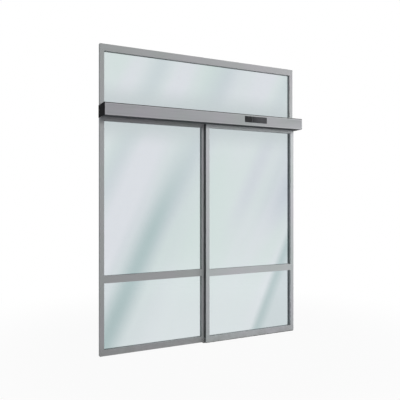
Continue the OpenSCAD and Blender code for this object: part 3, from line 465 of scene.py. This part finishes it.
# Finishes of the record's other slots
FINISHES = {
    "cover_aluminium": aluminium("cover_aluminium", (0.325, 0.33, 0.342), "x", metallic=0.06, gloss=0.03),
    "carrier_aluminium": aluminium("carrier_aluminium", (0.5, 0.505, 0.51), "x", metallic=0.5),
    "door_glass": door_glass("door_glass"),
    "gasket_rubber": painted("gasket_rubber", (0.12, 0.124, 0.128), rough=0.62, pebble=700, depth=0.00004),
    "belt_rubber": painted("belt_rubber", (0.018, 0.018, 0.018), rough=0.6, pebble=500, depth=0.00006),
    "stop_rubber": painted("stop_rubber", (0.02, 0.02, 0.021), rough=0.7, pebble=400, depth=0.00008),
    "dark_plastic": painted("dark_plastic", (0.03, 0.031, 0.033), rough=0.48, pebble=600, depth=0.00004),
    "cap_plastic": painted("cap_plastic", (0.03, 0.03, 0.0315), rough=0.6, pebble=800, depth=0.00004,
                           gloss=0.003),
    "unit_plastic": painted("unit_plastic", (0.05, 0.052, 0.056), rough=0.45, pebble=700, depth=0.00005),
    "sensor_window": sensor_window("sensor_window"),
    "brush_fibre": painted("brush_fibre", (0.02, 0.02, 0.021), rough=0.8, pebble=900, depth=0.0001),
    "bolt_steel": bare_metal("bolt_steel", (0.55, 0.54, 0.50), rough=0.32, stretch=(400, 400, 400),
                             depth=0.00003),
    "black_screws": painted("black_screws", (0.012, 0.012, 0.013), rough=0.35, pebble=900, depth=0.00003),
    "carriage_steel": bare_metal("carriage_steel", (0.50, 0.50, 0.49), rough=0.38, stretch=(4, 600, 600),
                                 depth=0.00004),
    "motor_paint": painted("motor_paint", (0.10, 0.105, 0.11), rough=0.4, pebble=500, depth=0.00005,
                           coat=0.2),
    "gearbox_casting": bare_metal("gearbox_casting", (0.42, 0.42, 0.42), rough=0.5, stretch=(260, 260, 260),
                                  depth=0.0001),
    "pulley_aluminium": bare_metal("pulley_aluminium", (0.62, 0.62, 0.63), rough=0.3,
                                   stretch=(400, 900, 400), depth=0.00003),
    "roller_nylon": painted("roller_nylon", (0.72, 0.71, 0.67), rough=0.42, pebble=600, depth=0.00003),
}


def finish_of(node):
    """The material that a node's piece takes."""
    if node == "floor_guide":
        return GUIDE_NYLON
    if SLOT_OF[node] in FINISHES:
        return FINISHES[SLOT_OF[node]]
    if node.startswith("leaf"):
        return LEAF_UPRIGHT if node in UPRIGHTS else LEAF_CROSSBAR
    return FRAME_UPRIGHT if node in UPRIGHTS else FRAME_CROSSBAR


def give(piece, material):
    """The material takes every slot of the piece."""
    piece.data.materials.clear()
    piece.data.materials.append(material)


def give_faces(piece, material, chosen):
    """The faces that pass a test of their middle and direction take a second material."""
    piece.data.materials.append(material)
    for face in piece.data.polygons:
        if chosen(face.center, face.normal):
            face.material_index = len(piece.data.materials) - 1


# Tools for modelling

def select_only(*pieces):
    """Selects these pieces alone, with the first one active."""
    bpy.ops.object.select_all(action="DESELECT")
    for piece in pieces:
        piece.select_set(True)
    bpy.context.view_layer.objects.active = pieces[0]


def settle(piece):
    """The piece's place, turn and size go into its mesh."""
    select_only(piece)
    bpy.ops.object.transform_apply(location=True, rotation=True, scale=True)


def added(primitive, **settings):
    """A new primitive, with its place in its mesh."""
    bpy.ops.object.select_all(action="DESELECT")
    primitive(**settings)
    piece = bpy.context.object
    settle(piece)
    return piece


def apply_modifier(piece, kind, **settings):
    """A modifier with its settings, applied."""
    modifier = piece.modifiers.new(kind.lower(), kind)
    for name, value in settings.items():
        setattr(modifier, name, value)
    select_only(piece)
    bpy.ops.object.modifier_apply(modifier=modifier.name)


def round_edges(piece, width):
    """Rounds every sharp edge over and smooths the rest."""
    select_only(piece)
    bpy.ops.object.shade_smooth_by_angle(angle=SHARP_ANGLE)
    apply_modifier(piece, "BEVEL", width=width, segments=2, limit_method="ANGLE", angle_limit=SHARP_ANGLE,
                   harden_normals=True)


def eased_copy(node):
    """A merged copy of a CAD piece with its edges rounded over."""
    piece = bpy.data.objects.new(node + "_eased", NODES[node].data.copy())
    SCENE.collection.objects.link(piece)
    select_only(piece)
    bpy.ops.object.mode_set(mode="EDIT")
    bpy.ops.mesh.select_all(action="SELECT")
    bpy.ops.mesh.remove_doubles(threshold=MERGE_GAP)
    bpy.ops.mesh.dissolve_limited(angle_limit=FLAT_ANGLE)
    bpy.ops.object.mode_set(mode="OBJECT")
    round_edges(piece, EDGE_ROUNDS.get(node, EDGE_ROUND))
    return piece


def stand_for(piece, node):
    """The piece takes a CAD node's finish, body and place, and the CAD node is hidden."""
    give(piece, finish_of(node))
    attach(piece, BODY_OF[node])
    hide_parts(node)
    return piece


def repeat_along_x(piece, count, step):
    """Copies of the piece in a row along X."""
    apply_modifier(piece, "ARRAY", count=count, use_relative_offset=False, use_constant_offset=True,
                   constant_offset_displace=(step, 0, 0))


def joined(first, *others):
    """One piece made of several."""
    select_only(first, *others)
    bpy.ops.object.join()
    return first


def sink_sockets(piece, places, turn, across, depth):
    """Cuts a six-sided socket of a width across corners at each place."""
    cutters = [added(bpy.ops.mesh.primitive_cylinder_add, vertices=6, radius=across / 2, depth=2 * depth,
                     location=place, rotation=turn) for place in places]
    cutter = joined(*cutters)
    apply_modifier(piece, "BOOLEAN", operation="DIFFERENCE", object=cutter, solver="EXACT")
    bpy.data.objects.remove(cutter)


def forward_faces(piece, node):
    """Middles of the flat faces at the very front of a piece."""
    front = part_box(node)[0].y
    return [face.center.copy() for face in piece.data.polygons
            if face.normal.y < -DEAD_FLAT and face.center.y < front + MERGE_GAP]


def cut_across(piece, places):
    """Divides the faces of the piece at each place along X."""
    select_only(piece)
    bpy.ops.object.mode_set(mode="EDIT")
    for x in places:
        bpy.ops.mesh.select_all(action="SELECT")
        bpy.ops.mesh.bisect(plane_co=(x, 0, 0), plane_no=(1, 0, 0))
    bpy.ops.mesh.select_all(action="DESELECT")
    bpy.ops.object.mode_set(mode="OBJECT")


def push_back(piece, depth, chosen):
    """Sinks the faces that pass a test of their middle and direction."""
    for face in piece.data.polygons:
        face.select = chosen(face.center, face.normal)
    select_only(piece)
    bpy.ops.object.mode_set(mode="EDIT")
    bpy.ops.mesh.select_mode(type="FACE")
    bpy.ops.mesh.extrude_region_move(TRANSFORM_OT_translate={"value": (0, depth, 0)})
    bpy.ops.object.mode_set(mode="OBJECT")


# Pieces with more detail than their solids

def end_cap_screws():
    """The sunk screws of the end caps, with sockets."""
    node = "end_cap_screws"
    socket_across = 0.0046
    socket_deep = 0.0012
    piece = eased_copy(node)
    low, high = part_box(node)
    head_r = (high.z - low.z) / 2
    middle_z = (low.z + high.z) / 2
    places = [(x, y, middle_z) for x in (low.x, high.x) for y in (low.y + head_r, high.y - head_r)]
    sink_sockets(piece, places, ALONG_X, socket_across, socket_deep)
    stand_for(piece, node)


def socket_heads():
    """Pieces whose round screw heads look forward: each head has a six-sided socket."""
    for node, (across, depth) in SOCKETS.items():
        piece = eased_copy(node)
        sink_sockets(piece, forward_faces(piece, node), ALONG_Y, across, depth)
        stand_for(piece, node)


def toothed_belt():
    """The belt, with teeth on its straight runs up to the pulleys' flanges."""
    node = "drive_belt"
    pitch = 0.005
    tooth_r = 0.0012
    thickness = 0.0022
    side_gap = 0.0002
    piece = eased_copy(node)
    low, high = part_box(node)
    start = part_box("idler_pulley")[1].x
    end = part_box("drive_pulley")[0].x
    tooth_w = high.y - low.y - 2 * side_gap
    rows = []
    for z in (low.z + thickness, high.z - thickness):
        row = added(bpy.ops.mesh.primitive_cylinder_add, vertices=8, radius=tooth_r, depth=tooth_w,
                    rotation=ALONG_Y, location=(start + pitch / 2, (low.y + high.y) / 2, z))
        repeat_along_x(row, int((end - start) / pitch), pitch)
        rows.append(row)
    stand_for(joined(piece, *rows), node)


def bristle_brush():
    """The brush under the leaf: a backing strip and two staggered rows of bristles."""
    node = "leaf_bottom_brush"
    strip_h = 0.002
    strip_round = 0.0004
    step = 0.0021
    tip_r = 0.0006
    root_r = 0.0009
    row_set = 0.0009
    low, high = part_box(node)
    middle = (low + high) / 2
    strip = added(bpy.ops.mesh.primitive_cube_add, size=1, scale=(high.x - low.x, high.y - low.y, strip_h),
                  location=(middle.x, middle.y, high.z - strip_h / 2))
    strip.name = "leaf_bottom_brush_pile"
    round_edges(strip, strip_round)
    bristle_h = high.z - low.z - strip_h / 2
    rows = []
    for side in (-1, 1):
        place = (low.x + step * (1 + side / 4), middle.y + side * row_set, low.z + bristle_h / 2)
        row = added(bpy.ops.mesh.primitive_cone_add, vertices=6, radius1=tip_r, radius2=root_r,
                    depth=bristle_h, location=place)
        repeat_along_x(row, int((high.x - low.x) / step) - 1, step)
        rows.append(row)
    stand_for(joined(strip, *rows), node)


def sensor_front():
    """The sensor's smoked window, with a sunk seam and a darker module at its left end."""
    node = "sensor_lens"
    module_share = 0.33
    seam_half = 0.0016
    seam_deep = 0.0006
    low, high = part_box(node)
    seam_x = low.x + module_share * (high.x - low.x)

    def in_seam(middle, normal):
        """A face at the front that lies between the seam's edges."""
        return abs(middle.x - seam_x) < seam_half and normal.y < -FACING

    piece = eased_copy(node)
    cut_across(piece, (seam_x - seam_half, seam_x + seam_half))
    push_back(piece, seam_deep, in_seam)
    stand_for(piece, node)
    give_faces(piece, SENSOR_MODULE, lambda middle, normal: middle.x < seam_x - seam_half)
    give_faces(piece, SENSOR_SEAM, in_seam)


def cover():
    """The front cover: its raised rim is coloured lighter than its face as painted highlight, its underside
    darker and matt as painted shade.
    """
    node = "front_cover"
    rim_reach = 0.0006
    rim_facing = 0.5
    underside_reach = 0.001
    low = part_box(node)[0]
    piece = stand_for(eased_copy(node), node)
    # The rim takes a lighter colour as painted highlight
    give_faces(piece, COVER_RIM_PAINTED_HIGHLIGHT,
               lambda middle, normal: normal.y < -rim_facing and middle.y < low.y + rim_reach)
    # The underside takes a darker colour as painted shade
    give_faces(piece, COVER_UNDERSIDE_PAINTED_SHADE,
               lambda middle, normal: normal.z < -FACING and middle.z < low.z + underside_reach)


def leaf_left_stile():
    """The leaf's left stile, whose outer side is coloured dark as painted shade in the gap next to the
    mullion.
    """
    node = "leaf_left_stile"
    side_reach = 0.001
    side_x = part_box(node)[0].x
    piece = stand_for(eased_copy(node), node)
    give_faces(piece, STILE_SIDE_PAINTED_SHADE,
               lambda middle, normal: normal.x < -FACING and middle.x < side_x + side_reach)


def rollers():
    """The nylon rollers, each with a steel bearing in its hub."""
    hub_r = 0.0071
    for node in ROLLERS:
        low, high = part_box(node)
        axle = (low + high) / 2
        piece = stand_for(eased_copy(node), node)
        give_faces(piece, FINISHES["bolt_steel"],
                   lambda middle, normal: math.hypot(middle.x - axle.x, middle.z - axle.z) < hub_r)


def plain_pieces():
    """Every other piece keeps its shape, with its edges rounded over."""
    for node in NODES:
        if node not in MODELLED:
            stand_for(eased_copy(node), node)


def dress_nodes():
    """The CAD nodes take the finishes of their pieces."""
    for node, piece in NODES.items():
        give(piece, finish_of(node))


# Studio, lights and camera

def seen_mask(tree):
    """1 for rays from the camera, from gloss and through glass."""
    path = add_node(tree, "ShaderNodeLightPath")
    straight = calculate(tree, "MAXIMUM", path.outputs["Is Camera Ray"], path.outputs["Is Glossy Ray"])
    return calculate(tree, "MAXIMUM", straight, path.outputs["Is Transmission Ray"])


def white_room():
    """A world that is white to look at and gives a plain soft light."""
    world = bpy.data.worlds.new("studio")
    world.use_nodes = True
    tree = world.node_tree
    tree.nodes.clear()
    soft = add_node(tree, "ShaderNodeBackground")
    soft.inputs["Color"].default_value = (*ROOM_LIGHT, 1)
    soft.inputs["Strength"].default_value = ROOM_STRENGTH
    white = add_node(tree, "ShaderNodeBackground")
    white.inputs["Color"].default_value = (1, 1, 1, 1)
    chosen = add_node(tree, "ShaderNodeMixShader")
    output = add_node(tree, "ShaderNodeOutputWorld")
    tree.links.new(seen_mask(tree), chosen.inputs[0])
    tree.links.new(soft.outputs["Background"], chosen.inputs[1])
    tree.links.new(white.outputs["Background"], chosen.inputs[2])
    tree.links.new(chosen.outputs["Shader"], output.inputs["Surface"])
    SCENE.world = world


def floor_material():
    """Pale floor that keeps a soft shadow near the door and fades to white further away."""
    material = bpy.data.materials.new("studio_floor")
    material.use_nodes = True
    tree = material.node_tree
    tree.nodes.clear()
    place = add_node(tree, "ShaderNodeTexCoord")
    distance = add_node(tree, "ShaderNodeVectorMath", operation="LENGTH")
    tree.links.new(place.outputs["Object"], distance.inputs[0])
    whiter = remap(tree, distance.outputs["Value"], *FLOOR_WHITE_FADE)
    matt = add_node(tree, "ShaderNodeBsdfDiffuse")
    matt.inputs["Color"].default_value = (*FLOOR_GREY, 1)
    glow = add_node(tree, "ShaderNodeEmission")
    chosen = add_node(tree, "ShaderNodeMixShader")
    output = add_node(tree, "ShaderNodeOutputMaterial")
    tree.links.new(calculate(tree, "MULTIPLY", seen_mask(tree), whiter), chosen.inputs[0])
    tree.links.new(matt.outputs["BSDF"], chosen.inputs[1])
    tree.links.new(glow.outputs["Emission"], chosen.inputs[2])
    tree.links.new(chosen.outputs["Shader"], output.inputs["Surface"])
    return material


def studio_floor():
    """A wide plane under the door."""
    floor = added(bpy.ops.mesh.primitive_plane_add, size=2 * FLOOR_HALF, location=(0, 0, 0))
    floor.name = "studio_floor"
    give(floor, floor_material())


def soft_lamp(name, place, aim, size, power, colour):
    """A square soft box that looks at a point."""
    data = bpy.data.lights.new(name, "AREA")
    data.size = size
    data.energy = power
    data.color = colour
    lamp = bpy.data.objects.new(name, data)
    SCENE.collection.objects.link(lamp)
    lamp.location = place
    lamp.rotation_euler = (Vector(aim) - Vector(place)).to_track_quat("-Z", "Y").to_euler()
    lamp.visible_camera = False
    lamp.visible_transmission = False
    lamp.visible_glossy = False


def lights():
    """Two soft boxes in front, a small one near the right end and two dim ones behind."""
    warm = (1.0, 0.985, 0.96)
    neutral = (1.0, 0.99, 0.97)
    cool = (0.97, 0.985, 1.0)
    cooler = (0.97, 0.98, 1.0)
    soft_lamp("key_lamp", (0.3, -6.0, 3.9), DOOR_MIDDLE, size=1.8, power=198, colour=warm)
    soft_lamp("side_lamp", (2.4, -1.8, 2.4), (0.4, 0, 1.3), size=1.0, power=37, colour=neutral)
    soft_lamp("low_lamp", (-0.4, -6.0, 1.75), DOOR_MIDDLE, size=1.8, power=81, colour=cool)
    soft_lamp("right_back_lamp", (3.5, 4.5, 3.8), DOOR_MIDDLE, size=3.0, power=150, colour=cooler)
    soft_lamp("left_back_lamp", (-4.2, 3.4, 2.0), DOOR_MIDDLE, size=3.0, power=60, colour=cooler)


def camera():
    """A level camera at the photograph's place."""
    data = bpy.data.cameras.new("camera")
    data.lens = CAMERA_LENS
    data.sensor_width = CAMERA_SENSOR
    data.shift_y = CAMERA_SHIFT
    seen_from = bpy.data.objects.new("camera", data)
    SCENE.collection.objects.link(seen_from)
    seen_from.location = CAMERA_PLACE
    seen_from.rotation_euler = (math.radians(90), 0, math.radians(CAMERA_TURN))
    SCENE.camera = seen_from


SCENE.view_settings.view_transform = "Standard"
white_room()
studio_floor()
lights()
camera()
end_cap_screws()
socket_heads()
toothed_belt()
bristle_brush()
sensor_front()
cover()
leaf_left_stile()
rollers()
plain_pieces()
dress_nodes()
